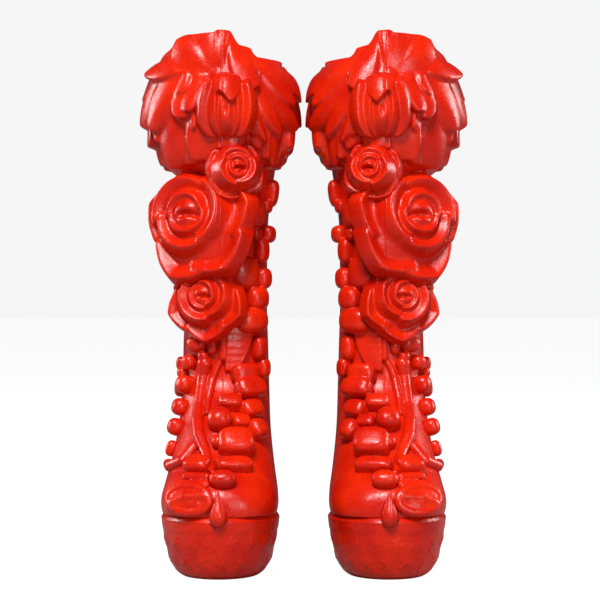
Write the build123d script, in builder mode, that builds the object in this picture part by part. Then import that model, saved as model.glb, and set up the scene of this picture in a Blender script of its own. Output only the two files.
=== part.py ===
"""A pair of high-heeled platform boots for a fashion doll, ornamented with roses, beads, a vine and a bow.

Millimetres, +Z up, toes toward -Y. The origin is on the floor between the two boots, at the middle of their
depth. Every piece is drawn once for the right boot, in that boot's own frame (leg axis on Z, toes to -Y,
outer side to -X), then placed, and mirrored for the left boot.
"""

from build123d import *

import os
from math import cos, radians, sin

# ---------------------------------------------------------------- driving dimensions
boot_spacing = 8.15  # from the pair's middle plane to each leg axis
toe_out = 1.5  # degrees that each boot is turned outward about its leg axis
depth_shift = 4.26  # from the leg axes to the middle of the pair's depth
wall = 0.8  # thickness of the soft shell
leg_bore_radius = 5.1
leg_bore_bottom = 45.5
shaft_top = 52.5
ankle_height = 19.0  # where the foot becomes the shaft
ankle_radius = 4.6
platform_height = 6.2
insole_height = 7.0
platform_y = -8.8
heel_y = 3.9
collar_bottom = 40.6
collar_top = 52.8
collar_shift = 0.4  # the collar is fuller on the outer side
slit_width = 0.4
slit_bottom = 21.0
seated = 0.4  # share of a bead's half height that its middle stands off the surface
gap = 0.04  # left between things that sit side by side

# Sections of the foot from the toe to the ankle: lean of the section's normal above the horizontal, y, z,
# half width and half depth.
foot_sections = [
    (0, -15.4, 7.0, 1.8, 1.1),
    (0, -14.9, 7.0, 3.4, 2.0),
    (5, -13.4, 7.0, 4.9, 3.1),
    (12, -11.0, 7.2, 5.8, 4.1),
    (25, -8.0, 8.0, 5.9, 5.1),
    (45, -4.5, 10.6, 5.4, 5.8),
    (68, -1.7, 14.5, 4.9, 5.4),
    (90, 0.0, ankle_height, ankle_radius, ankle_radius),
]


# ---------------------------------------------------------------- the upper's outer form and its hollow
def foot_form(inset, bottom):
    """The foot, taken in by inset, above a flat bottom."""
    with BuildPart() as form:
        for lean, y, z, half_width, half_depth in foot_sections:
            normal = (0, cos(radians(lean)), sin(radians(lean)))
            with BuildSketch(Plane(origin=(0, y, z), x_dir=(1, 0, 0), z_dir=normal)):
                Ellipse(half_width - inset, half_depth - inset)
        loft()
        split(bisect_by=Plane.XY.offset(bottom), keep=Keep.TOP)
    return form.part


def shaft_form(inset):
    """The shaft, taken in by inset: slim at the calf, and flared to hold the leg."""
    with BuildPart() as form:
        with BuildSketch(Plane.XZ):
            with BuildLine():
                side = FilletPolyline(
                    (ankle_radius - inset, ankle_height),
                    (4.3 - inset, 27),
                    (4.4 - inset, 36.5),
                    (leg_bore_radius + wall - inset, leg_bore_bottom),
                    (leg_bore_radius + wall - inset, shaft_top),
                    radius=5,
                )
                Polyline(side @ 1, (0, shaft_top), (0, ankle_height), side @ 0)
            make_face()
        revolve(axis=Axis.Z)
    return form.part


foot_outside = foot_form(0, platform_height)
shaft_outside = shaft_form(0)


# ---------------------------------------------------------------- places on the boot's surface
def seat(azimuth, z, lift=0.0, rise=None):
    """A plane on the surface, its Z outward. Azimuth runs from the front toward the boot's outer side.

    With a rise, in degrees, the plane faces that far above the horizontal instead of square to the surface.
    """
    to_toe = max(0.0, ankle_height - z) / (ankle_height - platform_height)
    middle = Vector(0, platform_y * to_toe, z)
    outward = Vector(-sin(radians(azimuth)), -cos(radians(azimuth)), 0)
    form = shaft_outside if z > ankle_height else foot_outside
    hits = form.find_intersection_points(Axis(middle, outward))
    point, normal = [hit for hit in hits if (hit[0] - middle).dot(outward) > 0][-1]
    if normal.dot(outward) < 0:
        normal = -normal
    if rise is not None:
        normal = outward * cos(radians(rise)) + Vector(0, 0, sin(radians(rise)))
    across = Vector(0, 0, 1).cross(normal)
    return Plane(origin=point + normal * lift, x_dir=across, z_dir=normal)


def bead(place, half_width, half_height):
    """A round bead, or a bar with round ends along its longer side."""
    radius = min(half_width, half_height) - gap
    with BuildPart() as one:
        if half_width == half_height:
            with Locations(place):
                Sphere(radius)
        else:
            lying = half_width > half_height
            with BuildSketch(place):
                SlotOverall(2 * max(half_width, half_height), 2 * radius, rotation=0 if lying else 90)
                split(bisect_by=Plane.XZ if lying else Plane.YZ, keep=Keep.TOP)
            revolve(axis=Axis(place.origin, place.x_dir if lying else place.y_dir))
    return one.part


def cord_run(points, radius):
    """A round cord through the points: straight runs with a ball at each turn."""
    with BuildPart() as run:
        for point in points:
            with Locations(point):
                Sphere(radius)
        for start, end in zip(points, points[1:]):
            with BuildSketch(Plane(origin=start, z_dir=end - start)):
                Circle(radius)
            extrude(amount=(end - start).length)
    return run.part


def rose(place, radius, height):
    """A rose in relief: three tiers of petals round a domed heart. Its foot reaches into the boot."""
    foot_depth = 0.5 * radius
    tiers = [(5, 1.0, 0.42), (4, 0.70, 0.72), (3, 0.43, 0.95)]  # petals, share of the radius, share of the height
    with BuildPart() as flower:
        for petals, reach, top in tiers:
            petal_radius = 0.46 * radius * reach
            with BuildSketch(place.offset(-foot_depth)):
                Circle(0.72 * radius * reach)
                with PolarLocations(radius * reach - petal_radius, petals, start_angle=90 * reach):
                    Circle(petal_radius)
            extrude(amount=foot_depth + height * top)
        with Locations(place.offset(height * 0.86)):
            Sphere(0.2 * radius)
    return flower.part


def trimmed(part, *neighbours):
    """The part with the upper's and its neighbours' room taken out of it."""
    with BuildPart() as rest:
        add(part)
        for other in (shaft_outside, foot_outside, *neighbours):
            add(other, mode=Mode.SUBTRACT)
    return rest.part


# ---------------------------------------------------------------- shaft, foot, platform and heel
with BuildPart() as shaft:
    add(shaft_outside)
    add(shaft_form(wall), mode=Mode.SUBTRACT)
    with Locations((0, 0, slit_bottom)):
        Box(slit_width, 12, shaft_top, align=(Align.CENTER, Align.MIN, Align.MIN), mode=Mode.SUBTRACT)

with BuildPart() as foot:
    add(foot_outside)
    add(foot_form(wall, insole_height), mode=Mode.SUBTRACT)

# Height, half width and half length of the platform's outline.
platform_outlines = [(0.0, 3.9, 5.0), (0.8, 4.7, 5.9), (2.6, 5.4, 6.6), (4.8, 5.85, 7.0), (6.2, 5.9, 7.05)]

with BuildPart() as platform:
    for z, half_width, half_length in platform_outlines:
        with BuildSketch(Plane.XY.offset(z)):
            with Locations((0, platform_y)):
                Ellipse(half_width, half_length)
    loft()

# Height, y, half width and half length of the heel.
heel_outlines = [(0, heel_y, 1.7, 1.8), (7, heel_y, 1.7, 1.8), (15, heel_y - 1.7, 3.3, 3.1)]

with BuildPart() as heel:
    for z, y, half_width, half_length in heel_outlines:
        with BuildSketch(Plane.XY.offset(z)):
            with Locations((0, y)):
                Ellipse(half_width, half_length)
    loft()
    add(foot_outside, mode=Mode.SUBTRACT)

# ---------------------------------------------------------------- the petal collar and its bud
collar_tiers = [(5.1, collar_bottom), (7.2, 44.4), (7.6, 48.9), (6.3, collar_top)]  # radius, height of each crease
tier_bulges = [(6.8, 42.2), (8.0, 46.7), (7.6, 51.0)]
# Height, radius, number and size of the petals that stand out of each tier.
petal_rings = [(42.9, 5.9, 11, 1.5), (46.8, 6.75, 13, 1.6), (50.7, 6.3, 11, 1.5)]
peak_petals = [(-7, 53.3, 1.8), (13, 52.8, 1.5), (30, 52.5, 1.5), (-30, 51.5, 1.4)]  # azimuth, height, size

with BuildPart() as collar:
    with BuildSketch(Plane.XZ):
        with BuildLine():
            for start, bulge, end in zip(collar_tiers, tier_bulges, collar_tiers[1:]):
                ThreePointArc(start, bulge, end)
            Polyline(collar_tiers[-1], (3, collar_top), (3, collar_bottom), collar_tiers[0])
        make_face()
    revolve(axis=Axis.Z)
    for ring, (z, ring_radius, petals, petal_radius) in enumerate(petal_rings):
        with Locations((0, 0, z)):
            with PolarLocations(ring_radius, petals, start_angle=90 + 16 * ring):
                Sphere(petal_radius)
    for azimuth, z, petal_radius in peak_petals:
        with Locations((-6.4 * sin(radians(azimuth)), -6.4 * cos(radians(azimuth)), z)):
            Sphere(petal_radius)

with BuildPart() as seated_collar:
    with Locations((-collar_shift, 0, 0)):
        add(collar.part)
    add(shaft_outside, mode=Mode.SUBTRACT)
    with Locations((0, 0, shaft_top)):
        Cylinder(
            leg_bore_radius + wall, 8, align=(Align.CENTER, Align.CENTER, Align.MIN), mode=Mode.SUBTRACT
        )
    with Locations((0, 0, collar_bottom - 2)):
        Box(slit_width, 12, 20, align=(Align.CENTER, Align.MIN, Align.MIN), mode=Mode.SUBTRACT)

bud_place = Plane(origin=(0.8, -7.3, 47.2), x_dir=(1, 0, 0), z_dir=(0, -1, 0))
with BuildPart() as bud_shape:
    add(bead(bud_place, 2.7, 3.7))
collar_bud = trimmed(bud_shape.part, seated_collar.part)

# ---------------------------------------------------------------- the three roses down the front
large_rose = trimmed(rose(seat(27, 35.3, rise=8), 5.4, 3.1), seated_collar.part, collar_bud)
upper_rose = trimmed(rose(seat(-13, 40.7, rise=5), 2.6, 3.9), seated_collar.part, collar_bud, large_rose)
lower_rose = trimmed(rose(seat(20, 27.2, rise=4), 3.6, 2.3), large_rose)

# ---------------------------------------------------------------- drop, bow, vine and tongue leaf
drop_x, drop_y = 0.2, -15.75
with BuildPart() as drop_shape:
    with BuildSketch(Plane(origin=(drop_x, drop_y, 0), x_dir=(1, 0, 0), z_dir=(0, -1, 0))):
        with BuildLine():
            belly = CenterArc((0, 6.3), 0.95, -90, 110)
            Polyline(belly @ 1, (0.3, 8.0), (0, 9.2), belly @ 0)
        make_face()
    revolve(axis=Axis((drop_x, drop_y, 0), (0, 0, 1)))
drop_bead = trimmed(drop_shape.part, platform.part)

# The bow's loop lies on the toe cap and follows its curve.
bow_place = Plane(origin=(-2.8, -13.6, 8.3), x_dir=(0.86, -0.5, 0), z_dir=(-0.5, -0.86, 0))
with BuildPart() as loop:
    with BuildSketch(bow_place):
        SlotOverall(5.4, 3.5)
    extrude(amount=4, both=True)
    add(foot_form(-0.75, platform_height), mode=Mode.INTERSECT)
bow = trimmed(loop.part, platform.part, drop_bead)

vine_radius = 0.4
# Azimuth and height of the turns.
main_vine = [(26, 20.6), (28, 18.6), (28, 16.4), (23, 13.9), (13, 12.4), (4, 10.6)]
twig = [(1, 24.4), (1, 21.9), (10, 20.9), (15, 19.5), (18, 17.4), (17, 16.0)]

with BuildPart() as vine:
    add(cord_run([seat(azimuth, z, 0.25).origin for azimuth, z in main_vine], 1.5 * vine_radius))
    add(cord_run([seat(azimuth, z, 0.15).origin for azimuth, z in twig], vine_radius))
vine_stems = trimmed(vine.part, lower_rose)

with BuildPart() as tongue:
    with BuildSketch(seat(-20, 22.0, -0.8)):
        with BuildLine():
            right_edge = ThreePointArc((1.3, 2.0), (1.0, 0.2), (-0.3, -1.6))
            Polyline(right_edge @ 1, (-1.3, -2.2), (-1.2, 2.0), right_edge @ 0)
        make_face()
    extrude(amount=1.3)
leaf = trimmed(tongue.part, lower_rose, vine_stems)

# ---------------------------------------------------------------- beads and bars, laid out by hand
# Azimuth, height, half width and half height of each bead.
centre_layout = [(1, 15.1, 1.15, 1.15), (1, 13.1, 0.68, 0.68), (-4, 9.6, 1.2, 0.85)]
inner_layout = [
    (-73, 38.7, 0.6, 1.1),
    (-61, 37.3, 0.6, 0.6),
    (-38, 36.7, 0.95, 1.3),
    (-68, 34.4, 0.75, 0.75),
    (-44, 34.4, 0.55, 0.55),
    (-55, 32.7, 0.65, 1.0),
    (-38, 30.9, 0.62, 0.8),
    (-58, 29.8, 0.75, 0.85),
    (-26, 29.6, 1.05, 0.72),
    (-45, 27.7, 1.0, 1.0),
    (-37, 25.4, 1.35, 1.05),
    (-49, 22.6, 0.65, 0.95),
    (-56, 20.5, 0.6, 0.8),
    (-40, 14.2, 0.88, 0.88),
]
outer_layout = [
    (36, 23.0, 1.05, 0.78),
    (14, 22.8, 0.5, 0.8),
    (26, 21.7, 0.55, 0.55),
    (49, 21.1, 0.75, 0.75),
    (80, 20.9, 0.5, 0.65),
    (68, 20.0, 0.55, 0.55),
    (57, 18.7, 0.9, 0.9),
    (79, 18.4, 0.6, 0.85),
    (71, 16.4, 0.85, 0.85),
    (74, 14.4, 0.85, 0.85),
    (82, 12.3, 0.55, 0.75),
]
bar_layout = [
    (-27, 20.0, 1.2, 0.9),
    (-31, 18.3, 1.4, 0.85),
    (-9, 17.0, 1.0, 0.7),
    (-35, 16.2, 1.1, 0.8),
    (-21, 15.0, 0.8, 0.6),
    (-15, 12.9, 1.5, 1.25),
    (-13, 10.9, 1.55, 0.7),
    (17, 10.8, 1.15, 0.85),
]
strap_route = [(74, 10.8), (38, 11.3), (27, 12.7)]


def beads(layout):
    """One group of beads, each a solid of its own where they don't touch."""
    with BuildPart() as group:
        for azimuth, z, half_width, half_height in layout:
            place = seat(azimuth, z, seated * min(half_width, half_height))
            add(bead(place, half_width, half_height))
    return group.part


with BuildPart() as bars:
    add(beads(bar_layout))
    add(cord_run([seat(azimuth, z, 0.15).origin for azimuth, z in strap_route], 0.42))

roses = (large_rose, upper_rose, lower_rose)
centre_beads = trimmed(beads(centre_layout), vine_stems, drop_bead, bow)
inner_beads = trimmed(beads(inner_layout), seated_collar.part, *roses, leaf)
outer_beads = trimmed(beads(outer_layout), *roses, vine_stems, leaf)
lace_bars = trimmed(bars.part, *roses, vine_stems, leaf, bow, centre_beads, inner_beads, outer_beads)

# ---------------------------------------------------------------- both boots, placed and written
pieces = {
    "shaft": shaft.part,
    "foot": foot.part,
    "platform": platform.part,
    "heel": heel.part,
    "collar": seated_collar.part,
    "collar_bud": collar_bud,
    "upper_rose": upper_rose,
    "large_rose": large_rose,
    "lower_rose": lower_rose,
    "inner_beads": inner_beads,
    "outer_beads": outer_beads,
    "centre_beads": centre_beads,
    "lace_bars": lace_bars,
    "vine_stems": vine_stems,
    "leaf": leaf,
    "bow": bow,
    "drop_bead": drop_bead,
}

os.makedirs("parts", exist_ok=True)
for name, piece in pieces.items():
    with BuildPart() as right:
        with Locations(Location((-boot_spacing, depth_shift, 0), (0, 0, -toe_out))):
            add(piece)
    with BuildPart() as left:
        mirror(right.part, about=Plane.YZ)
    for side, boot in (("right", right), ("left", left)):
        boot.part.label = f"{side}_{name}"
        export_step(boot.part, f"parts/{side}_{name}.step")
    box = right.part.bounding_box()
    print(name, len(right.part.solids()), "solids", round(right.part.volume, 2), box.min, box.max)
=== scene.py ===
# %% [markdown]
# # A pair of high-heeled platform boots for a fashion doll
#
# The real boots are two mouldings of soft red vinyl, mirror images of each other. Each is covered in
# relief: a collar of ruffled petals with a rosebud, three roses, rows of beads, a vine, a bow and an
# embossed platform. The measured model is loaded first, and every piece made below stands on it.

# %% Load the measured model
from collections import namedtuple
from math import atan2, cos, degrees, hypot, pi, radians, sin
from random import Random

import bmesh
import bpy
import numpy as np
from mathutils import Matrix, Vector
from mathutils.bvhtree import BVHTree


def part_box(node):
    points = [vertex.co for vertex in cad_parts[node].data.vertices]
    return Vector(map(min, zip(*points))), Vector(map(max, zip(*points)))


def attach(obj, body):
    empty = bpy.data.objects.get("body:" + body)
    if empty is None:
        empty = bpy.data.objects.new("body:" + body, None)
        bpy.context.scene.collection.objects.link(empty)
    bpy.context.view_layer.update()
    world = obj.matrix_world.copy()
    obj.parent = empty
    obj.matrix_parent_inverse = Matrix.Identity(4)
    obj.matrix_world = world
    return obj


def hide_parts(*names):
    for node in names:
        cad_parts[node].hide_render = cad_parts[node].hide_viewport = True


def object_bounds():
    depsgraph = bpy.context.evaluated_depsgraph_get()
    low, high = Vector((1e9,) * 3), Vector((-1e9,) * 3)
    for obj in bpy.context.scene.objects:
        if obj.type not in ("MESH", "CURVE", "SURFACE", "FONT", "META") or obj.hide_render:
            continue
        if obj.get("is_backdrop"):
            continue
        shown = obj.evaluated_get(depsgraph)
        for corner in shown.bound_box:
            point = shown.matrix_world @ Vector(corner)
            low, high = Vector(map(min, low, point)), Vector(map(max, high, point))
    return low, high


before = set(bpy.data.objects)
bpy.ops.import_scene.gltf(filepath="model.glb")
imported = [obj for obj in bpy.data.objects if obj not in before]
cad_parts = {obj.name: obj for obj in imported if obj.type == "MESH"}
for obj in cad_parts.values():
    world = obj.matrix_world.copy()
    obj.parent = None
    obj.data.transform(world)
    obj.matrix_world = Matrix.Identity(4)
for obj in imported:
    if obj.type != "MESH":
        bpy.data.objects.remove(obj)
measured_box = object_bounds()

# %% [markdown]
# ## One boot's own frame
#
# The two boots are mirror images, so each shape is worked out once, for the right boot, in
# millimetres: the leg's axis is Z, the toes point to -Y and the boot's outer side is -X. The left
# boot is the same mesh mirrored. Doing it by hand on both boots would double the work and let them
# drift apart.

# %% Where the right boot stands
TOE_OUT = radians(1.5)
leg_low, leg_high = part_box("right_shaft")
leg_axis = Vector(((leg_low.x + leg_high.x) / 2, (leg_low.y + leg_high.y) / 2, 0))
PLACED = Matrix.Translation(leg_axis) @ Matrix.Rotation(-TOE_OUT, 4, "Z") @ Matrix.Scale(0.001, 4)
MIRRORED = Matrix.Scale(-1, 4, (1, 0, 0)) @ PLACED


def middle_of(node):
    """The middle of a measured node's box, in the boot's own frame, in millimetres."""
    low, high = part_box(node)
    return PLACED.inverted() @ ((low + high) / 2)


print("leg axis at", [round(v * 1000, 2) for v in leg_axis])


# %% [markdown]
# ## Soft vinyl
#
# Doll boots are rotation-moulded or injection-moulded in plasticised PVC. To the eye it is a satin
# plastic with a very fine grain from the mould, a little light carried under the skin, and a
# saturated red that turns deep in the creases. The mould closes on the boot's middle plane and leaves
# a fine raised line over everything there.


# %% Colours and a node helper
def linear(code):
    """A colour from its sRGB hex code, with full alpha."""
    parts = [int(code[i : i + 2], 16) / 255 for i in (1, 3, 5)]
    return tuple(c / 12.92 if c <= 0.04045 else ((c + 0.055) / 1.055) ** 2.4 for c in parts) + (1.0,)


def node(tree, kind, settings=(), **inputs):
    """Adds a node. Inputs go by name, or by number as _0, _1. Each is a value or an output to link from."""
    made = tree.nodes.new(kind)
    for key, value in dict(settings).items():
        setattr(made, key, value)
    for key, value in inputs.items():
        socket = made.inputs[int(key[1:])] if key[1:].isdigit() else made.inputs[key.replace("_", " ")]
        if isinstance(value, bpy.types.NodeSocket):
            tree.links.new(value, socket)
        else:
            socket.default_value = value
    return made


# %% The mould's parting line
def parting_line(tree, place):
    """The normal with a raised line 0.14 mm wide on each boot's middle plane."""
    axes = node(tree, "ShaderNodeSeparateXYZ", Vector=place)
    # The boots mirror each other, so X is taken positive, and the plane is turned out with the toes.
    side = node(tree, "ShaderNodeMath", {"operation": "ABSOLUTE"}, _0=axes.outputs["X"])
    offset = node(tree, "ShaderNodeMath", {"operation": "SUBTRACT"}, _0=side.outputs[0], _1=-leg_axis.x)
    lean = sin(TOE_OUT)
    turned = node(tree, "ShaderNodeMath", {"operation": "MULTIPLY_ADD"}, _0=axes.outputs["Y"], _1=lean)
    tree.links.new(offset.outputs[0], turned.inputs[2])
    middle = leg_axis.y * lean
    centred = node(tree, "ShaderNodeMath", {"operation": "SUBTRACT"}, _0=turned.outputs[0], _1=middle)
    away = node(tree, "ShaderNodeMath", {"operation": "ABSOLUTE"}, _0=centred.outputs[0])
    line = node(tree, "ShaderNodeMapRange", _0=away.outputs[0], _1=0.00003, _2=0.00011, _3=1.0, _4=0.0)
    ridge = node(tree, "ShaderNodeBump", Strength=0.6, Distance=0.00006, Height=line.outputs[0])
    return ridge.outputs["Normal"]


# %% The red vinyl
def red_vinyl():
    material = bpy.data.materials.new("soft_red_vinyl")
    material.use_nodes = True
    tree = material.node_tree
    shader = tree.nodes["Principled BSDF"]
    shader.inputs["Specular IOR Level"].default_value = 0.4
    shader.inputs["Subsurface Weight"].default_value = 0.15
    shader.inputs["Subsurface Radius"].default_value = (1.0, 0.12, 0.05)
    shader.inputs["Subsurface Scale"].default_value = 0.0006
    place = node(tree, "ShaderNodeTexCoord").outputs["Object"]
    # The pigment isn't mixed quite evenly: soft clouds about 4 mm across.
    cloud = node(tree, "ShaderNodeTexNoise", Vector=place, Scale=250.0, Detail=3.0, Roughness=0.5)
    ramp = node(tree, "ShaderNodeValToRGB", Fac=cloud.outputs["Fac"])
    for stop, position, code in zip(ramp.color_ramp.elements, (0.35, 0.65), ("#C41200", "#DC2400")):
        stop.position = position
        stop.color = linear(code)
    tree.links.new(ramp.outputs["Color"], shader.inputs["Base Color"])
    # The mould's fine grain, about 0.15 mm, breaks the gloss into a soft sparkle.
    grain = node(tree, "ShaderNodeTexNoise", Vector=place, Scale=5200.0, Detail=2.0, Roughness=0.6)
    gloss = node(tree, "ShaderNodeMapRange", _0=grain.outputs["Fac"], _1=0.3, _2=0.7, _3=0.2, _4=0.38)
    tree.links.new(gloss.outputs[0], shader.inputs["Roughness"])
    bump = node(tree, "ShaderNodeBump", Strength=0.5, Distance=0.00005, Height=grain.outputs["Fac"])
    tree.links.new(parting_line(tree, place), bump.inputs["Normal"])
    # Softer dents where the thick vinyl shrank as it cooled, about 1.5 mm across.
    shrink = node(tree, "ShaderNodeTexNoise", Vector=place, Scale=700.0, Detail=1.0)
    sink = node(tree, "ShaderNodeBump", Strength=0.25, Distance=0.0002, Height=shrink.outputs["Fac"])
    tree.links.new(bump.outputs["Normal"], sink.inputs["Normal"])
    tree.links.new(sink.outputs["Normal"], shader.inputs["Normal"])
    return material


VINYL = red_vinyl()
print("material:", VINYL.name)

# %% [markdown]
# ## Pressing shapes together and putting them on both boots
#
# A sculptor would press petals and beads of clay together and smooth the joins. The Remesh modifier
# does that: it wraps one closed skin round everything in a mesh, and Smooth rounds the joins as a
# mould does. Boolean unions keep hard joins and fail on so many thin petals.


# %% Helpers that finish a piece
def evaluated(mesh, *modifiers):
    """The mesh with modifiers applied, each a (kind, settings) pair."""
    carrier = bpy.data.objects.new("carrier", mesh)
    bpy.context.collection.objects.link(carrier)
    for kind, settings in modifiers:
        modifier = carrier.modifiers.new(kind, kind)
        for key, value in settings.items():
            setattr(modifier, key, value)
    result = bpy.data.meshes.new_from_object(carrier.evaluated_get(bpy.context.evaluated_depsgraph_get()))
    bpy.data.objects.remove(carrier)
    return result


def to_mesh(bm):
    mesh = bpy.data.meshes.new("shape")
    bm.to_mesh(mesh)
    bm.free()
    return mesh


def softened(mesh, rounds):
    """The mesh with its hollows and edges rounded a little more by each round."""
    return evaluated(mesh, ("SMOOTH", {"factor": 0.5, "iterations": rounds}))


def fused(bm, voxel, rounds=4):
    """One closed skin round everything in bm, with its joins rounded."""
    return softened(evaluated(to_mesh(bm), ("REMESH", {"mode": "VOXEL", "voxel_size": voxel})), rounds)


def on_both_boots(name, mesh, *nodes):
    """Makes the right and the left piece from a mesh in the boot's own frame, in place of those nodes."""
    for side, place in (("right", PLACED), ("left", MIRRORED)):
        copy = mesh.copy()
        copy.name = f"{side}_{name}"
        copy.transform(place)
        if side == "left":
            copy.flip_normals()
        copy.polygons.foreach_set("use_smooth", [True] * len(copy.polygons))
        copy.materials.clear()
        copy.materials.append(VINYL)
        piece = bpy.data.objects.new(f"{side}_{name}", copy)
        bpy.context.collection.objects.link(piece)
        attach(piece, f"{side}_boot")
        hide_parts(*[f"{side}_{replaced}" for replaced in nodes])
    print(name, "faces:", len(mesh.polygons))


# %% [markdown]
# ## The upper
#
# The upper is one soft shell, from the toe cap over the instep and up the slim shaft to the flare
# that holds the leg. It could be cut from solids, but a foot has no flat or round part to start from.
# Rings of an ellipse are extruded from the toe to the rim instead, on a smooth curve through a few
# measured sections.


# %% A tube of rings
def between(stations, place):
    """The station at a fractional place in the list, on a smooth curve through them all."""
    low = min(int(place), len(stations) - 2)
    share = place - low
    around = [stations[min(max(low + step, 0), len(stations) - 1)] for step in (-1, 0, 1, 2)]
    weights = (
        -0.5 * share + share**2 - 0.5 * share**3,
        1 - 2.5 * share**2 + 1.5 * share**3,
        0.5 * share + 2 * share**2 - 1.5 * share**3,
        -0.5 * share**2 + 0.5 * share**3,
    )
    return [sum(w * station[i] for w, station in zip(weights, around)) for i in range(len(stations[0]))]


def tube_of_rings(stations, point_on, segments=96, steps=6):
    """A tube with closed ends through the stations. point_on(station, angle) gives each of its points."""
    bm = bmesh.new()
    rings = (len(stations) - 1) * steps
    bmesh.ops.create_circle(bm, cap_ends=True, segments=segments, radius=1)
    edges = bm.edges[:]
    for _ in range(rings):
        made = bmesh.ops.extrude_edge_only(bm, edges=edges)["geom"]
        ring = {part for part in made if isinstance(part, bmesh.types.BMVert)}
        bmesh.ops.translate(bm, verts=list(ring), vec=(0, 0, 1))
        edges = [part for part in made if isinstance(part, bmesh.types.BMEdge)]
        edges = [edge for edge in edges if ring.issuperset(edge.verts)]
    bmesh.ops.contextual_create(bm, geom=edges)
    for vert in bm.verts:
        vert.co = point_on(between(stations, vert.co.z / steps), atan2(vert.co.y, vert.co.x))
    bmesh.ops.recalc_face_normals(bm, faces=bm.faces)
    if bm.calc_volume(signed=True) < 0:
        bmesh.ops.reverse_faces(bm, faces=bm.faces)
    return bm


# %% The upper's rings and its shell
WALL = 0.8
# Lean of the ring's normal above the horizontal, y and z of its middle, half width and half depth.
upper_stations = [
    (0, -15.5, 7.0, 0.9, 0.5),
    (0, -15.4, 7.0, 1.8, 1.1),
    (0, -14.9, 7.0, 3.4, 2.0),
    (5, -13.4, 7.0, 4.9, 3.1),
    (12, -11.0, 7.2, 5.8, 4.1),
    (25, -8.0, 8.0, 5.8, 5.1),
    (45, -4.5, 10.6, 5.3, 5.8),
    (68, -1.7, 14.5, 4.78, 5.4),
    (90, 0.0, 19.0, 4.55, 4.6),
    (90, 0.0, 23.0, 4.44, 4.44),
    (90, 0.0, 27.0, 4.32, 4.32),
    (90, 0.0, 32.0, 4.35, 4.35),
    (90, 0.0, 36.5, 4.5, 4.5),
    (90, 0.0, 41.0, 5.15, 5.15),
    (90, 0.0, 45.0, 5.8, 5.8),
    (90, 0.0, 48.0, 5.9, 5.9),
    (90, 0.0, 52.4, 5.9, 5.9),
]


def on_upper(station, angle):
    lean, y, z, half_width, half_depth = station
    # The angle runs from the sole side of the ring, or from the heel side where the ring is level.
    up = Vector((0, -sin(radians(lean)), cos(radians(lean))))
    return Vector((sin(angle) * half_width, y, z)) - up * cos(angle) * half_depth


upper = tube_of_rings(upper_stations, on_upper)
top_cap = max(upper.faces, key=lambda face: (len(face.verts), face.calc_center_median().z))
bmesh.ops.delete(upper, geom=[top_cap], context="FACES_ONLY")
SOLE = 6.3
everything = upper.verts[:] + upper.edges[:] + upper.faces[:]
bmesh.ops.bisect_plane(upper, geom=everything, plane_co=(0, 0, SOLE), plane_no=(0, 0, 1), clear_inner=True)
SKIN = BVHTree.FromBMesh(upper)
measured_skin = bmesh.new()
for cad_name in ("right_shaft", "right_foot"):
    measured_skin.from_mesh(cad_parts[cad_name].data)
measured_skin.transform(PLACED.inverted())
measured_tree = BVHTree.FromBMesh(measured_skin)
stray = max(measured_tree.find_nearest(vert.co)[3] for vert in upper.verts if vert.co.z > SOLE + WALL)
print("upper faces:", len(upper.faces), "furthest from the measured shell, mm:", round(stray, 2))


# %% [markdown]
# The slit at the back lets the vinyl open for the doll's foot. Two cuts a fraction of a millimetre
# apart and the strip between them taken away is how a knife would do it, so the shell is cut the same
# way before it gets its thickness.


# %% The slit and the thickness
SLIT_HALF = 0.2
SLIT_LOW = 21.0


def faces_behind(half_width, low):
    """The faces on the back within half_width of the middle and above low."""
    middles = [(face, face.calc_center_median()) for face in upper.faces]
    return [face for face, at in middles if at.y > 0 and abs(at.x) < half_width and at.z > low]


for x in (-SLIT_HALF, SLIT_HALF):
    near = faces_behind(1, 0)
    corners = {vert for face in near for vert in face.verts}
    edges = {edge for face in near for edge in face.edges}
    bmesh.ops.bisect_plane(upper, geom=[*corners, *edges, *near], plane_co=(x, 0, 0), plane_no=(1, 0, 0))
bmesh.ops.delete(upper, geom=faces_behind(SLIT_HALF, SLIT_LOW), context="FACES")
solid = ("SOLIDIFY", {"thickness": WALL, "offset": -1.0, "use_even_offset": False})
on_both_boots("upper", evaluated(to_mesh(upper), solid), "shaft", "foot")


# %% [markdown]
# ## Finding a place on the upper
#
# Every ornament has to sit on the curved shell. A ray toward the boot's middle finds the surface, and
# the surface's own direction turns the ornament, which is safer than typing in heights and angles.


# %% Seats on the upper
def frame_at(point, normal):
    """A frame at a point of the shell: X across, Y up and Z outward."""
    across = Vector((0, 0, 1)).cross(normal).normalized()
    turned = Matrix((across, normal.cross(across), normal)).transposed().to_4x4()
    return Matrix.Translation(point) @ turned


def toe_side(z):
    """How far forward the middle of the foot lies at a height."""
    return -8.8 * max(0.0, 19.0 - z) / 12.8


def seat(azimuth, z, rise=None):
    """A frame on the shell. Azimuth, in degrees, runs from the front toward the outer side."""
    outward = Vector((-sin(radians(azimuth)), -cos(radians(azimuth)), 0))
    point, normal, _, _ = SKIN.ray_cast(Vector((0, toe_side(z), z)) + outward * 30, -outward)
    if rise is not None:
        normal = outward * cos(radians(rise)) + Vector((0, 0, sin(radians(rise))))
    return frame_at(point, normal)


def seat_under(node_name, rise=None):
    """The seat in front of a measured node's middle."""
    place = middle_of(node_name)
    return seat(degrees(atan2(-place.x, toe_side(place.z) - place.y)), place.z, rise)


def from_front(x, z, lift=0.0):
    """The point of the shell seen from straight in front at x and z, lifted off it."""
    point, normal, _, _ = SKIN.ray_cast(Vector((x, -40, z)), Vector((0, 1, 0)))
    return point + normal * lift


print("large rose sits at", [round(v, 1) for v in seat_under("right_large_rose").translation])


# %% [markdown]
# ## The platform
#
# The platform is a bowl-shaped block, narrower at the floor, with a lip at its top and a faint band
# of small roses embossed in its side. It is a tube of rings again, made fine enough for the embossing
# to be real relief.


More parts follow.
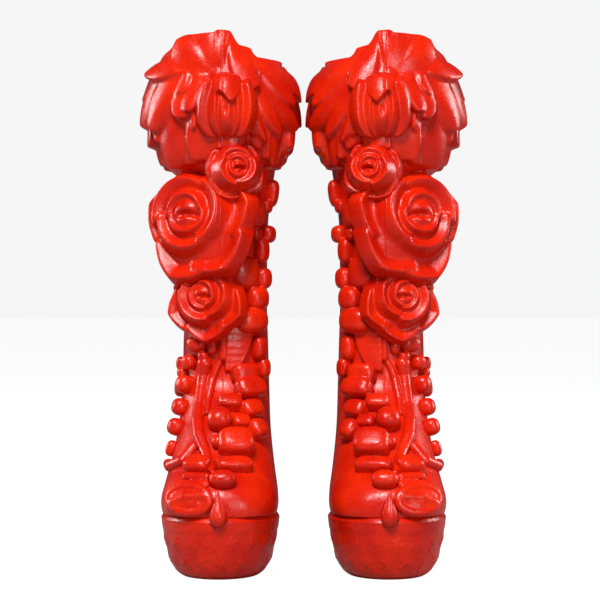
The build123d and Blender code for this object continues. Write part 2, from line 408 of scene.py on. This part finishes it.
# %% The platform's outline and relief
PLATFORM_Y = -8.8
# Height, half width and half length of the outline.
platform_stations = [
    (0.0, 3.4, 4.5),
    (0.05, 3.9, 5.0),
    (0.8, 4.7, 5.9),
    (2.6, 5.4, 6.6),
    (4.6, 5.8, 6.95),
    (5.6, 5.93, 7.08),
    (5.85, 5.93, 7.08),
    (6.25, 5.6, 6.75),
    (6.3, 5.0, 6.2),
]


def on_ellipse(station, angle):
    return Vector((station[1] * cos(angle), PLATFORM_Y + station[2] * sin(angle), station[0]))


ROSES_ROUND = 17
ROSE_PITCH = 2.3
LOWEST_ROW = 1.7
ROW_PITCH = 1.9


def embossing(angle, z):
    """How far the side stands out: staggered roses of five petals, in rows."""
    along = angle / (2 * pi) * ROSES_ROUND
    row = round((z - LOWEST_ROW) / ROW_PITCH)
    shift = 0.5 * (row % 2)
    column = round(along - shift)
    across, up = (along - shift - column) * ROSE_PITCH, z - LOWEST_ROW - ROW_PITCH * row
    reach = hypot(across, up)
    petals = 0.6 + 0.4 * cos(5 * atan2(up, across) + 2.4 * reach + column)
    return 0.11 * petals * max(0.0, 1 - (reach / 0.95) ** 2) + 0.06 * max(0.0, 1 - reach / 0.3)


platform = tube_of_rings(platform_stations, on_ellipse, segments=320, steps=12)
platform.normal_update()
for vert in platform.verts:
    fade = min(1.0, max(0.0, (vert.co.z - 0.5) / 0.6)) * min(1.0, max(0.0, (5.0 - vert.co.z) / 0.5))
    if fade > 0:
        angle = atan2((vert.co.y - PLATFORM_Y) / 7.05, vert.co.x / 5.9)
        vert.co += vert.normal * fade * (embossing(angle, vert.co.z) - 0.03)
on_both_boots("platform_block", to_mesh(platform), "platform")

# %% [markdown]
# ## The heel
#
# A tall heel, narrow at the floor, that widens into the seat under the doll's heel. The rings lean
# with it, on a smooth curve through a few sections.

# %% The heel
# Height, y of the middle, half width and half length.
heel_stations = [
    (0.0, 3.9, 1.5, 1.6),
    (0.1, 3.9, 1.72, 1.82),
    (1.0, 3.9, 1.7, 1.8),
    (4.0, 3.9, 1.62, 1.72),
    (7.0, 3.9, 1.7, 1.8),
    (10.5, 3.4, 2.2, 2.3),
    (13.0, 2.8, 2.8, 2.75),
    (15.0, 2.2, 3.3, 3.1),
    (17.5, 1.4, 3.5, 3.0),
]


def on_heel(station, angle):
    return Vector((station[2] * cos(angle), station[1] + station[3] * sin(angle), station[0]))


on_both_boots("heel_post", to_mesh(tube_of_rings(heel_stations, on_heel, segments=64, steps=5)), "heel")


# %% [markdown]
# ## Relief that is modelled like clay
#
# The sculptor of such a toy lays petals of clay over one another and smooths them. The same is done
# here with numbers: a fine grid carries a height at each point, and each petal is laid over what is
# already there, low at its root and high at its free edge. Single thin petals pressed together with
# Boolean unions would leave gaps and hard slivers that no mould has.


# %% Laying one petal over the relief
def eased(low, high, value):
    """0 below low, 1 above high, and a soft step between."""
    share = np.clip((value - low) / (high - low), 0, 1)
    return share * share * (3 - 2 * share)


def lay_petal(relief, u, v, root, tip, half_width, lift, tilt=0.0, bend=0.0, swell=0.25, edge=0.55):
    """Lays a petal over the relief at the points (u, v), all in mm, and gives the new relief."""
    way = np.subtract(tip, root)
    length = np.hypot(*way)
    along = ((u - root[0]) * way[0] + (v - root[1]) * way[1]) / length**2
    across = ((v - root[1]) * way[0] - (u - root[0]) * way[1]) / length
    across = across + bend * np.sin(pi * np.clip(along, 0, 1))
    inside = np.clip(along, 1e-6, 1)
    width = half_width * inside**0.4 * np.sqrt(1 - inside**4) + 1e-6
    side = across / width
    height = lift * (0.2 + 0.8 * inside**1.3) + tilt * side * inside + swell * (1 - side**2) * inside
    height = height + 0.12 * np.sin(3.1 * side + 7 * root[0]) * inside
    border = np.minimum(width - np.abs(across), (1 - along) * length)
    mask = eased(0, edge, border) * eased(0, 0.12, along)
    return relief * (1 - mask) + height * mask


def thick_grid(columns, rows):
    """A closed grid of two sides, x from -1 to 1 and y from 0 to 1, with its upper and lower vertices."""
    bm = bmesh.new()
    lower = bmesh.ops.create_grid(bm, x_segments=columns, y_segments=rows, size=1)["verts"]
    for vert in lower:
        vert.co.y = (vert.co.y + 1) / 2
    made = bmesh.ops.extrude_face_region(bm, geom=bm.faces[:], use_keep_orig=True)["geom"]
    upper_side = [part for part in made if isinstance(part, bmesh.types.BMVert)]
    return bm, upper_side, lower


def closed_right_way(bm):
    bmesh.ops.recalc_face_normals(bm, faces=bm.faces)
    if bm.calc_volume(signed=True) < 0:
        bmesh.ops.reverse_faces(bm, faces=bm.faces)
    return to_mesh(bm)


# %% [markdown]
# ## The petal collar
#
# Round the knee stands a thick ruff of petals. Most lie like roof tiles, with a pointed free edge
# below; round the rosebud in front they close in, and at the top of the front a few stand up as
# folds. The petals at the front are laid one by one, and those round the back in rows with small
# uneven turns. The ruff is slit at the back with the shaft.

# %% The ruff's outline
# The ruff's middle lies a little inward of the leg's.
RUFF_X = -0.35
RUFF_FOOT = 41.2
SHOULDER = 47.7
RIM = 52.2
SLIT_HALF_TURN = 1.5
# Radius without petals, and height, from the bottom up.
ruff_profile = [(4.9, 40.6), (5.6, 41.4), (6.4, 42.7), (7.1, 44.6)]
ruff_profile += [(7.55, 46.8), (7.55, 48.9), (7.2, 50.8), (6.45, RIM)]
# Azimuth and height of the real rim, which the folds in front make stand up.
rim = [(-180, 51.9), (-150, 52.3), (-125, 51.6), (-100, 52.2), (-80, 51.8), (-65, 51.9), (-52, 52.4)]
rim += [(-36, 52.5), (-32, 52.9), (-30, 53.4), (-18, 53.7), (-14, 54.3), (-10, 55.1), (2, 55.2), (4, 54.9)]
rim += [(30, 54.8), (40, 54.4), (52, 53.5), (75, 52.7), (100, 51.8), (125, 52.3), (150, 51.7), (180, 51.9)]

ruff, outside, inside = thick_grid(390, 120)
flat = np.array([vert.co[:2] for vert in outside])
azimuth = flat[:, 0] * (180 - SLIT_HALF_TURN)
share = flat[:, 1]
stations = np.array([between(ruff_profile, place) for place in share * (len(ruff_profile) - 1)])
stretch = 1 + (np.interp(azimuth, *zip(*rim)) - RIM) / (RIM - SHOULDER) * eased(0.6, 1.0, share)
above = np.maximum(stations[:, 1] - SHOULDER, 0)
height = stations[:, 1] + above * (stretch - 1)
print("ruff points:", len(share), "highest, mm:", round(float(height.max()), 1))

# %% Laying petals on the ruff
# The radius at which an azimuth becomes a distance along the ruff.
RUFF_REACH = 7.9
around = np.radians(azimuth) * RUFF_REACH


def lay_on_ruff(relief, root, tip, half_width, lift, **shape):
    """Lays a petal over the relief, from a root to a tip given as (azimuth, z)."""
    ends = [(radians(turn) * RUFF_REACH, z) for turn, z in (root, tip)]
    return lay_petal(relief, around, height, *ends, half_width, lift, **shape)


# %% The petals all round
# Rows from the bottom up: z of the root and tip, petals, half width, lift.
petal_rows = [
    (44.2, 40.9, 10, 2.7, 0.7),
    (46.9, 43.0, 9, 3.1, 0.9),
    (49.8, 45.6, 9, 3.1, 1.0),
    (52.4, 48.4, 9, 3.1, 0.95),
]
chance = Random(21)
relief = np.full_like(share, 0.1)
for row, (root_z, tip_z, petals, half_width, lift) in enumerate(petal_rows):
    for number in range(petals):
        start = 360 / petals * (number + 0.5 * row) % 360 - 180 + chance.uniform(-6, 6)
        end = start + chance.uniform(-9, 9)
        drop = chance.uniform(-0.5, 0.5)
        shape = {"tilt": chance.uniform(-0.3, 0.3), "bend": chance.uniform(-0.5, 0.5)}
        shape["swell"] = chance.uniform(-0.1, 0.3)
        wide = half_width * chance.uniform(0.8, 1.1)
        thick = lift * chance.uniform(0.85, 1.1)
        relief = lay_on_ruff(relief, (start, root_z + drop), (end, tip_z + drop), wide, thick, **shape)

# %% The petals in front
# Laid from the bottom up: root, tip, half width, lift, tilt, bend, swell.
front_petals = [
    ((40, 47.2), (50, 40.9), 3.0, 0.7, 0.2, 0.4, 0.35),
    ((12, 48.6), (17, 41.6), 2.7, 0.7, 0.2, 0.2, 0.3),
    ((-12, 46.0), (-12, 42.9), 2.4, 0.8, 0.0, 0.0, 0.2),
    ((-36, 47.2), (-44, 41.9), 1.5, 0.7, -0.2, 0.4, 0.3),
    ((-50, 47.4), (-56, 41.2), 1.7, 0.85, 0.25, -0.3, 0.2),
    ((-70, 48.0), (-72, 43.2), 1.9, 0.95, 0.2, 0.3, 0.2),
    ((28, 51.4), (61, 45.0), 2.5, 0.95, 0.3, -0.4, 0.25),
    ((60, 51.2), (86, 45.6), 2.6, 1.0, 0.2, -0.3, 0.2),
    ((-30, 51.0), (-74, 45.2), 1.8, 0.85, -0.25, -0.5, 0.25),
    ((-26, 51.2), (-54, 44.4), 1.5, 0.9, -0.2, -0.7, 0.25),
    ((-24, 50.8), (-40, 43.6), 1.15, 0.9, 0.1, -0.8, 0.2),
    ((-17, 50.8), (-30, 44.2), 0.95, 0.75, 0.1, -0.9, 0.2),
    ((-34, 52.4), (-88, 48.6), 2.0, 0.95, 0.3, 0.3, 0.2),
    ((-28, 52.8), (-68, 47.8), 1.6, 1.05, 0.25, -0.3, 0.2),
    ((20, 49.2), (18, 44.8), 0.9, 0.95, 0.1, 0.2, 0.2),
    ((10, 52.4), (74, 51.3), 1.7, 1.15, -0.25, 0.5, 0.2),
    ((9, 51.8), (23, 46.7), 1.6, 1.1, -0.1, 0.2, 0.35),
    ((0, 50.6), (44, 54.4), 2.5, 0.6, 0.1, 0.3, 0.3),
    ((0, 50.6), (13, 56.0), 1.9, 0.65, 0.2, 0.1, 0.35),
    ((-11, 54.2), (-28, 49.0), 2.1, 1.15, 0.2, -0.3, 0.25),
    ((-2, 50.2), (-5, 57.0), 1.15, 0.95, 0.1, 0.1, 0.4),
]
for root, tip, half_width, lift, tilt, bend, swell in front_petals:
    relief = lay_on_ruff(relief, root, tip, half_width, lift, tilt=tilt, bend=bend, swell=swell)
# The relief thins out towards the rim and dies away at the foot.
relief = relief * eased(-0.02, 0.12, share) * (0.45 + 0.55 * eased(0, 0.16, 1.0 - share))
print("petals in front:", len(front_petals), "thickest, mm:", round(float(relief.max()), 2))

# %% The ruff's two sides
BORE = 5.55
BORE_AT_FOOT = 4.8
INNER_LIMIT = 8.0
radius = stations[:, 0] + relief
# Free edges hang a little.
sag = 0.3 * relief * eased(0.0, 0.15, share) * eased(0.0, 0.15, 0.9 - share)
# The petals between the boots are pressed in softly, so that the two collars stay just clear of each other.
sideways = -np.logaddexp(-8 * (RUFF_X - radius * np.sin(np.radians(azimuth))), -8 * INNER_LIMIT) / 8
for vert, x, turn, reach, z in zip(outside, sideways, np.radians(azimuth), radius, height - sag):
    vert.co = (x, -reach * cos(turn), z)
for vert in inside:
    turn = radians(vert.co.x * (180 - SLIT_HALF_TURN))
    top = np.interp(degrees(turn), *zip(*rim)) - 0.15
    z = RUFF_FOOT + (top - RUFF_FOOT) * vert.co.y
    reach = min(BORE, BORE_AT_FOOT + max(0.0, z - RUFF_FOOT) * 0.16)
    vert.co = (-reach * sin(turn), -reach * cos(turn), z)
on_both_boots("petal_collar", softened(closed_right_way(ruff), 6), "collar")

# %% [markdown]
# ## The rosebud on the collar
#
# A closed bud, taller than wide, is wrapped in petals whose edges run from base to tip, so it looks
# like an onion, and one petal hooks over its top. It is an egg whose skin is raised in steps.

# %% The bud
BUD_HALF_HEIGHT = 3.3
BUD_HALF_TURN = 105
bud_middle = Vector((middle_of("right_collar_bud").x + RUFF_X, -7.2, 47.25))
BUD = Matrix.Translation(bud_middle) @ Matrix.Rotation(radians(4), 4, "X")
bud, outside, inside = thick_grid(150, 110)
flat = np.array([vert.co[:2] for vert in outside])
turn = flat[:, 0] * BUD_HALF_TURN
up = flat[:, 1] * 2 - 1
# The shells, from the outermost in: where each ends, in degrees from the middle, and how far it stands out.
swell = 0.75 * eased(47, 53, np.abs(turn + 4 * np.sin(2 * up))) + 0.4 * eased(23, 29, np.abs(turn + 3))
swell += 0.3 * np.exp(-(((turn + 2) / 15) ** 2) - ((up + 0.3) / 0.42) ** 2)
swell -= 0.3 * np.exp(-((turn / 5) ** 2) - ((up + 0.1) / 0.16) ** 2)
spread = turn * np.cos(up * pi / 2 * 0.9)
# One petal hooks over the top.
hood = eased(0, 6, 34 - np.abs(spread + 4)) * eased(0.0, 0.09, up - 0.2 - 0.16 * np.sin(spread / 9))
swell = swell * (1 - hood) + (0.75 - 0.25 * np.abs(spread) / 34) * hood
print("bud skin stands out up to, mm:", round(float(swell.max()), 2))

# %% The bud's two sides
for vert, a, rise, out in zip(outside, np.radians(turn), up, swell):
    belly = np.sqrt(max(1 - rise * rise, 0)) * (1 - 0.12 * rise)
    reach = 1.9 * belly + out * min(1.0, 2.2 * belly)
    z = BUD_HALF_HEIGHT * rise + 0.25 * out * (rise > 0)
    vert.co = BUD @ Vector((-reach * 1.06 * sin(a), -reach * 1.05 * cos(a), z))
for vert in inside:
    rise = vert.co.y * 2 - 1
    reach = 0.8 * np.sqrt(max(1 - rise * rise, 0))
    a = radians(vert.co.x * BUD_HALF_TURN)
    vert.co = BUD @ Vector((-reach * sin(a) * 2, 1.6 - reach * cos(a), (BUD_HALF_HEIGHT - 0.2) * rise))
on_both_boots("bud_petals", softened(closed_right_way(bud), 2), "collar_bud")


# %% [markdown]
# ## The roses
#
# Each rose is a heart with a lip curled over a slot, a cup of two or three thick petals round it, and
# an open ring of petals with pointed tips. The lips are ridges on a low dome, each petal's ridge
# winding outward a little and then dropping behind the next, as on a rolled rose. The three roses
# differ in size, turn and number of petals.


# %% The petals of a rose
Petal = namedtuple("Petal", "turn reach crest half_angle spiral point inner_fall outer_fall")


def rose_petals(chance, radius, height, turn, outer):
    """The petals from the outside in, with small uneven turns and sizes. The outer ring has outer of them."""
    # Petals, turn of the ring, lip radius and height as shares of the rose's, half the angle a petal spans,
    # how it winds outward, how pointed it is, and how it falls away inside and outside its lip.
    rings = [
        (outer, 0, 0.97, 0.58, 0.7 * 360 / outer, 0.05, 0.15, 0.6, 1.5),
        (3, 25, 0.64, 0.92, 80, 0.08, 0.03, 0.85, 1.5),
        (2, 0, 0.36, 1.0, 112, 0.09, 0.0, 1.2, 1.9),
    ]
    petals = []
    for count, twist, lip, top, *shape in rings:
        for number in range(count):
            start = turn + 360 / count * number + chance.uniform(-8, 8) + twist
            reach = lip * radius * chance.uniform(0.95, 1.04)
            petals.append(Petal(start, reach, top * height * chance.uniform(0.94, 1.04), *shape))
    return petals


def lip_at(petal, angle):
    """How far round the petal each angle lies, from -1 to 1 within it, and how far out its lip is there."""
    side = ((np.degrees(angle) - petal.turn + 180) % 360 - 180) / petal.half_angle
    peak = np.maximum(1 - np.abs(side) * 1.6, 0) ** 1.2
    return side, petal.reach * (1 + petal.spiral * side + petal.point * peak - 0.12 * side**4)


# %% The relief of a rose
def rose_relief(x, y, petals, radius, height, outer, heart):
    """The height of the rose at the points (x, y)."""
    relief = height * (0.16 + 0.52 * (1 - (x**2 + y**2) / radius**2))
    # Petals meet in valleys as wide as this, in mm.
    soft = 0.03 * radius + 0.03
    # The inner rings are wound round the heart, which isn't quite in the middle.
    for number, petal in enumerate(petals):
        middle_x, middle_y = (0, 0) if number < outer else heart
        side, reach = lip_at(petal, np.arctan2(y - middle_y, x - middle_x))
        off = np.hypot(x - middle_x, y - middle_y) - reach
        inner = petal.inner_fall * np.abs(off) ** 1.25
        fall = np.where(off < 0, inner, petal.outer_fall * np.abs(off) ** 1.5 + 0.6 * off)
        ridge = petal.crest * (1 - 0.14 * side**2) - fall - 6 * eased(0.78, 1.1, np.abs(side))
        relief = np.logaddexp(relief / soft, ridge / soft) * soft
    relief = np.maximum(relief, height * (0.98 - 2.6 * np.hypot(x - heart[0], y - heart[1]) ** 2 / radius**2))
    # The slot in the heart, narrow and bent.
    slot_x = x - heart[0] - 0.07 * radius
    slot_y = y - heart[1] + 0.03 * radius + slot_x**2 / radius
    slot = np.exp(-((slot_x / (0.2 * radius)) ** 4) - (slot_y / (0.055 * radius)) ** 2)
    return relief - 0.26 * height * slot


# %% A rose
def rose(place, radius, height, turn, seed, outer, heart):
    """A rose of that radius and height, in mm, in its own frame: Z is the way it faces."""
    petals = rose_petals(Random(seed), radius, height, turn, outer)
    bm, outside, under = thick_grid(220, 70)
    flat = np.array([vert.co[:2] for vert in outside])
    angle = flat[:, 0] * pi
    border = np.zeros_like(angle)
    for petal in petals[:outer]:
        side, reach = lip_at(petal, angle)
        border = np.where(np.abs(side) < 1, np.maximum(border, reach), border)
    out = flat[:, 1] * (border + 0.12 * radius)
    x, y = out * np.cos(angle), out * np.sin(angle)
    relief = rose_relief(x, y, petals, radius, height, outer, heart)
    for over, below, px, py, top, share in zip(outside, under, x, y, relief, flat[:, 1]):
        edge_drop = 0.55 * max(0.0, share - 0.93) / 0.07
        over.co = place @ Vector((px, py, top - edge_drop))
        # The back is a cone that goes down into the shaft.
        below.co = place @ Vector((px * 0.97, py * 0.97, min(top - 0.75, 0.25 * height - 3.4 * (1 - share))))
    bm.normal_update()
    bmesh.ops.recalc_face_normals(bm, faces=bm.faces)
    return bm


# %% The three roses
# Name, rise of the way it faces, radius, height, turn, seed, petals in the outer ring, place of its heart.
for name, rise, radius, height, turn, seed, outer, heart in (
    ("large_rose", 10, 5.65, 3.4, 96, 4, 5, (-0.75, 0.6)),
    ("upper_rose", 6, 2.75, 3.9, 60, 7, 4, (0.0, 0.25)),
    ("lower_rose", 5, 3.75, 2.7, 200, 11, 5, (0.0, 0.5)),
):
    flower = rose(seat_under(f"right_{name}", rise), radius, height, turn, seed, outer, heart)
    on_both_boots(f"{name}_petals", fused(flower, 0.016 * radius + 0.02, rounds=9), name)


# %% [markdown]
# ## Beads and bars
#
# The beads are pillowy nuggets, none quite round. Their places and sizes are those of the measured
# beads: each measured group is taken apart into its separate solids, and a softly squared lump is
# pressed on in place of each.


# %% Lumps, and taking a measured group apart
def lump(bm, place, middle, half_sizes, power=2.0):
    """A rounded lump; a power over 2 makes it boxier."""
    made = bmesh.ops.create_uvsphere(bm, u_segments=24, v_segments=14, radius=1)["verts"]
    for vert in made:
        size = sum(abs(c) ** power for c in vert.co) ** (-1 / power)
        vert.co = place @ (Vector(middle) + Vector([c * size * half for c, half in zip(vert.co, half_sizes)]))


def measured_solids(node_name):
    """The points of each separate solid in a node, in the boot's own frame."""
    bm = bmesh.new()
    bm.from_mesh(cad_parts[node_name].data)
    bmesh.ops.remove_doubles(bm, verts=bm.verts, dist=1e-7)
    bmesh.ops.transform(bm, matrix=PLACED.inverted(), verts=bm.verts)
    waiting = set(bm.verts)
    while waiting:
        reached = [waiting.pop()]
        for vert in reached:
            fresh = [edge.other_vert(vert) for edge in vert.link_edges if edge.other_vert(vert) in waiting]
            waiting.difference_update(fresh)
            reached.extend(fresh)
        yield [vert.co.copy() for vert in reached]
    bm.free()


LARGEST_BEAD = 2.1


def press_beads(bm, node_name, grow, power, proud):
    """Presses a lump on in place of each solid of a node that is small enough to be a bead."""
    count = 0
    for points in measured_solids(node_name):
        point, normal, _, _ = SKIN.find_nearest(sum(points, Vector()) / len(points))
        place = frame_at(point, normal)
        flat = [place.inverted() @ corner for corner in points]
        spans = [(min(corner[i] for corner in flat), max(corner[i] for corner in flat)) for i in range(3)]
        half_u, half_v = [(high - low) / 2 * grow for low, high in spans[:2]]
        if max(half_u, half_v) > LARGEST_BEAD:
            continue
        across, up = [(low + high) / 2 for low, high in spans[:2]]
        depth = max(0.5, min(half_u, half_v))
        lump(bm, place, (across, up, spans[2][1] + proud - depth), (half_u, half_v, depth), power)
        count += 1
    print(node_name, "beads:", count)


# %% The beads and bars
FINE_VOXEL = 0.08
# Name, how much larger than the measured solid, power of the lump, how far it stands proud of the solid.
for name, grow, power, proud in (
    ("inner_beads", 1.32, 2.8, 0.25),
    ("outer_beads", 1.14, 2.5, 0.05),
    ("centre_beads", 1.12, 2.3, 0.25),
):
    group = bmesh.new()
    press_beads(group, f"right_{name}", grow, power, proud)
    on_both_boots(f"{name}_row", fused(group, FINE_VOXEL), name)
bars = bmesh.new()
press_beads(bars, "right_lace_bars", grow=1.24, power=3.4, proud=0.25)


# %% [markdown]
# ## Vine, straps and leaf
#
# The vine is a cord of clay laid down the instep, with a knob at its top and thin at its end.
# Straight tapering runs with a ball at each turn, pressed together, give the slightly knotted look of
# a stem. The strap that crosses to the vine is made with the bars. The leaf is a thin panel that
# follows the shell, with shallow grooves.


# %% Laying a cord
def stem(bm, stops):
    """A stem through (point, radius) stops: tapering runs with a ball at each stop."""
    for (start, thick), (end, thin) in zip(stops, stops[1:]):
        way = end - start
        turned = Matrix.Translation((start + end) / 2) @ way.to_track_quat("Z", "Y").to_matrix().to_4x4()
        ends = {"radius1": thick, "radius2": thin, "depth": way.length}
        bmesh.ops.create_cone(bm, cap_ends=True, segments=16, matrix=turned, **ends)
    for point, radius in stops:
        lump(bm, Matrix.Translation(point), (0, 0, 0), (radius, radius, radius))


def on_surface(route, sunk=0.3):
    """Points on the upper from (azimuth, z, radius) places, sunk so that part of the radius shows."""
    return [(seat(azimuth, z) @ Vector((0, 0, sunk * radius)), radius) for azimuth, z, radius in route]


# The strap.
stem(bars, on_surface([(76, 10.8, 0.58), (60, 10.7, 0.6), (38, 11.3, 0.6), (27, 12.7, 0.55)]))
on_both_boots("lace_bars_row", fused(bars, FINE_VOXEL), "lace_bars")

vine = bmesh.new()
main_vine = [(25, 21.0, 0.78), (27, 19.8, 0.6), (28, 18.6, 0.62), (29, 16.6, 0.6), (27, 15.1, 0.64)]
main_vine += [(22, 13.8, 0.68), (15, 12.5, 0.56), (9, 11.4, 0.46), (4, 10.4, 0.32)]
stem(vine, on_surface(main_vine))
stem(vine, on_surface([(1, 24.6, 0.45), (0, 23.2, 0.42), (0, 21.7, 0.48)]))
stem(vine, on_surface([(3, 21.4, 0.3), (9, 20.6, 0.4), (14, 19.4, 0.42), (18, 17.4, 0.42), (17, 16.0, 0.28)]))
on_both_boots("vine", fused(vine, FINE_VOXEL), "vine_stems")

# %% The leaf
leaf, outside, inside = thick_grid(36, 60)
for verts, lift in ((outside, 0.5), (inside, -0.4)):
    for vert in verts:
        side, along = vert.co.x, vert.co.y
        z = 24.9 - 4.9 * along
        left, right = 0.15, 3.0 - 0.4 * along - 1.6 * along**2.5
        groove = 0.012 * cos(2 * pi * 7 * along) * (lift > 0)
        lip = 0.18 * side**6 * (lift > 0)
        round_off = (lift > 0) * (abs(side) ** 14 + max(0.0, along - 0.93) / 0.07) * 0.5
        x = left + (right - left) * (side + 1) / 2
        vert.co = from_front(x, z, lift + groove + lip - round_off)
on_both_boots("tongue_leaf", softened(closed_right_way(leaf), 2), "leaf")

# %% [markdown]
# ## Bow and drop
#
# The bow's loop lies flat on the toe cap: a rounded band with a hollow in it, and two strands above.
# It is laid on from straight in front, the way it is seen. The drop is turned on its own axis, like a
# bead on a lathe.

# %% The bow
bow = bmesh.new()


def band(bm, route, radius):
    """A band through front-view (x, z) places, each pressed on the shell."""
    stem(bm, [(from_front(x, z, 0.25 * radius), radius) for x, z in route])


BOW_X = middle_of("right_bow").x + 0.5
BOW_Z = 7.95
# The loop, and the folds in its hollow: half width, half height, places round it, radius of the band.
rounds = [(1.95, 1.15, 25, 0.52), (1.6, 0.62, 17, 0.4), (0.8, 0.3, 17, 0.4)]
for half_width, half_height, places, thick in rounds:
    turns = np.linspace(0, 2 * pi, places)
    band(bow, [(BOW_X + half_width * cos(turn), BOW_Z + half_height * sin(turn)) for turn in turns], thick)
band(bow, [(BOW_X - 1.5, 7.6), (BOW_X - 0.3, 8.15), (BOW_X + 1.5, 8.3)], 0.55)
# The two strands above it.
band(bow, [(BOW_X - 0.4, 10.0), (BOW_X + 1.6, 10.0)], 0.48)
band(bow, [(BOW_X - 0.6, 9.35), (BOW_X + 1.6, 9.4)], 0.42)
on_both_boots("bow_loop", fused(bow, FINE_VOXEL), "bow")

# %% The drop bead
drop = bmesh.new()
profile = [(0.0, -1.0), (0.6, -0.8), (0.95, -0.1), (0.85, 0.6), (0.45, 1.4), (0.2, 2.2), (0.0, 2.9)]
points = [drop.verts.new((reach, 0, z)) for reach, z in profile]
edges = [drop.edges.new(pair) for pair in zip(points, points[1:])]
full_turn = {"cent": (0, 0, 0), "axis": (0, 0, 1), "dvec": (0, 0, 0), "angle": 2 * pi, "steps": 24}
bmesh.ops.spin(drop, geom=points + edges, use_merge=True, **full_turn)
bmesh.ops.remove_doubles(drop, verts=drop.verts, dist=1e-4)
# Its widest place hangs at the platform's top edge.
middle = middle_of("right_drop_bead")
bmesh.ops.translate(drop, vec=(middle.x, middle.y + 0.1, SOLE), verts=drop.verts)
drop_mesh = evaluated(closed_right_way(drop), ("SUBSURF", {"levels": 2, "render_levels": 2}))
on_both_boots("drop", drop_mesh, "drop_bead")

# %% [markdown]
# ## Floor, light and camera
#
# A plain pale floor, and large soft lights above and at both sides, as in a light tent for small products.

# %% Floor
floor_mesh = bmesh.new()
bmesh.ops.create_grid(floor_mesh, x_segments=1, y_segments=1, size=3)
floor = bpy.data.objects.new("floor", to_mesh(floor_mesh))
bpy.context.collection.objects.link(floor)
floor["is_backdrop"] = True
paper = bpy.data.materials.new("white_paper")
paper.use_nodes = True
paper_shader = paper.node_tree.nodes["Principled BSDF"]
paper_shader.inputs["Base Color"].default_value = linear("#8C8C8C")
paper_shader.inputs["Roughness"].default_value = 0.9
# The paper is washed out to the camera but throws back less light, so the reds stay deep.
paper_seen = node(paper.node_tree, "ShaderNodeLightPath").outputs["Is Camera Ray"]
glow = node(paper.node_tree, "ShaderNodeMapRange", _0=paper_seen, _3=0.0, _4=0.93)
paper.node_tree.links.new(glow.outputs[0], paper_shader.inputs["Emission Strength"])
paper_shader.inputs["Emission Color"].default_value = (1, 1, 1, 1)
floor.data.materials.append(paper)

# %% Light
for name, spot, watts, size in (
    ("key", (-0.05, -0.26, 0.31), 1.8, 0.12),
    ("fill", (0.14, -0.32, 0.08), 0.32, 0.1),
    ("left_rim", (-0.26, 0.09, 0.1), 0.4, 0.1),
    ("right_rim", (0.26, 0.09, 0.1), 0.4, 0.1),
):
    lamp = bpy.data.lights.new(name, "AREA")
    lamp.energy = watts
    lamp.size = size
    holder = bpy.data.objects.new(name, lamp)
    holder.location = spot
    holder.rotation_euler = (Vector((0, 0, 0.03)) - Vector(spot)).to_track_quat("-Z", "Y").to_euler()
    bpy.context.collection.objects.link(holder)
world = bpy.data.worlds.new("tent")
world.use_nodes = True
# The tent is white to look at but gives a weaker light than the lamps, so the relief keeps its shading.
seen = node(world.node_tree, "ShaderNodeLightPath").outputs["Is Camera Ray"]
strength = node(world.node_tree, "ShaderNodeMapRange", _0=seen, _3=0.06, _4=0.92)
world.node_tree.links.new(strength.outputs[0], world.node_tree.nodes["Background"].inputs["Strength"])
world.node_tree.nodes["Background"].inputs["Color"].default_value = (1, 1, 1, 1)
bpy.context.scene.world = world
bpy.context.scene.view_settings.view_transform = "Standard"

# %% Camera
# It stands in front of the legs, level, at half the boots' height and a hair to the right boot's side.
DISTANCE = 0.220
camera = bpy.data.cameras.new("camera")
camera.sensor_width = 36
camera.lens = 125.7
camera.clip_start = 0.01
eye = bpy.data.objects.new("camera", camera)
eye.location = (-0.00037, leg_axis.y - DISTANCE, measured_box[1][2] / 2)
eye.rotation_euler = (pi / 2, 0, 0)
bpy.context.collection.objects.link(eye)
bpy.context.scene.camera = eye

# %% Sizes, and the end
shown_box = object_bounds()
[[list(corner) for corner in box_] for box_ in (measured_box, shown_box)]
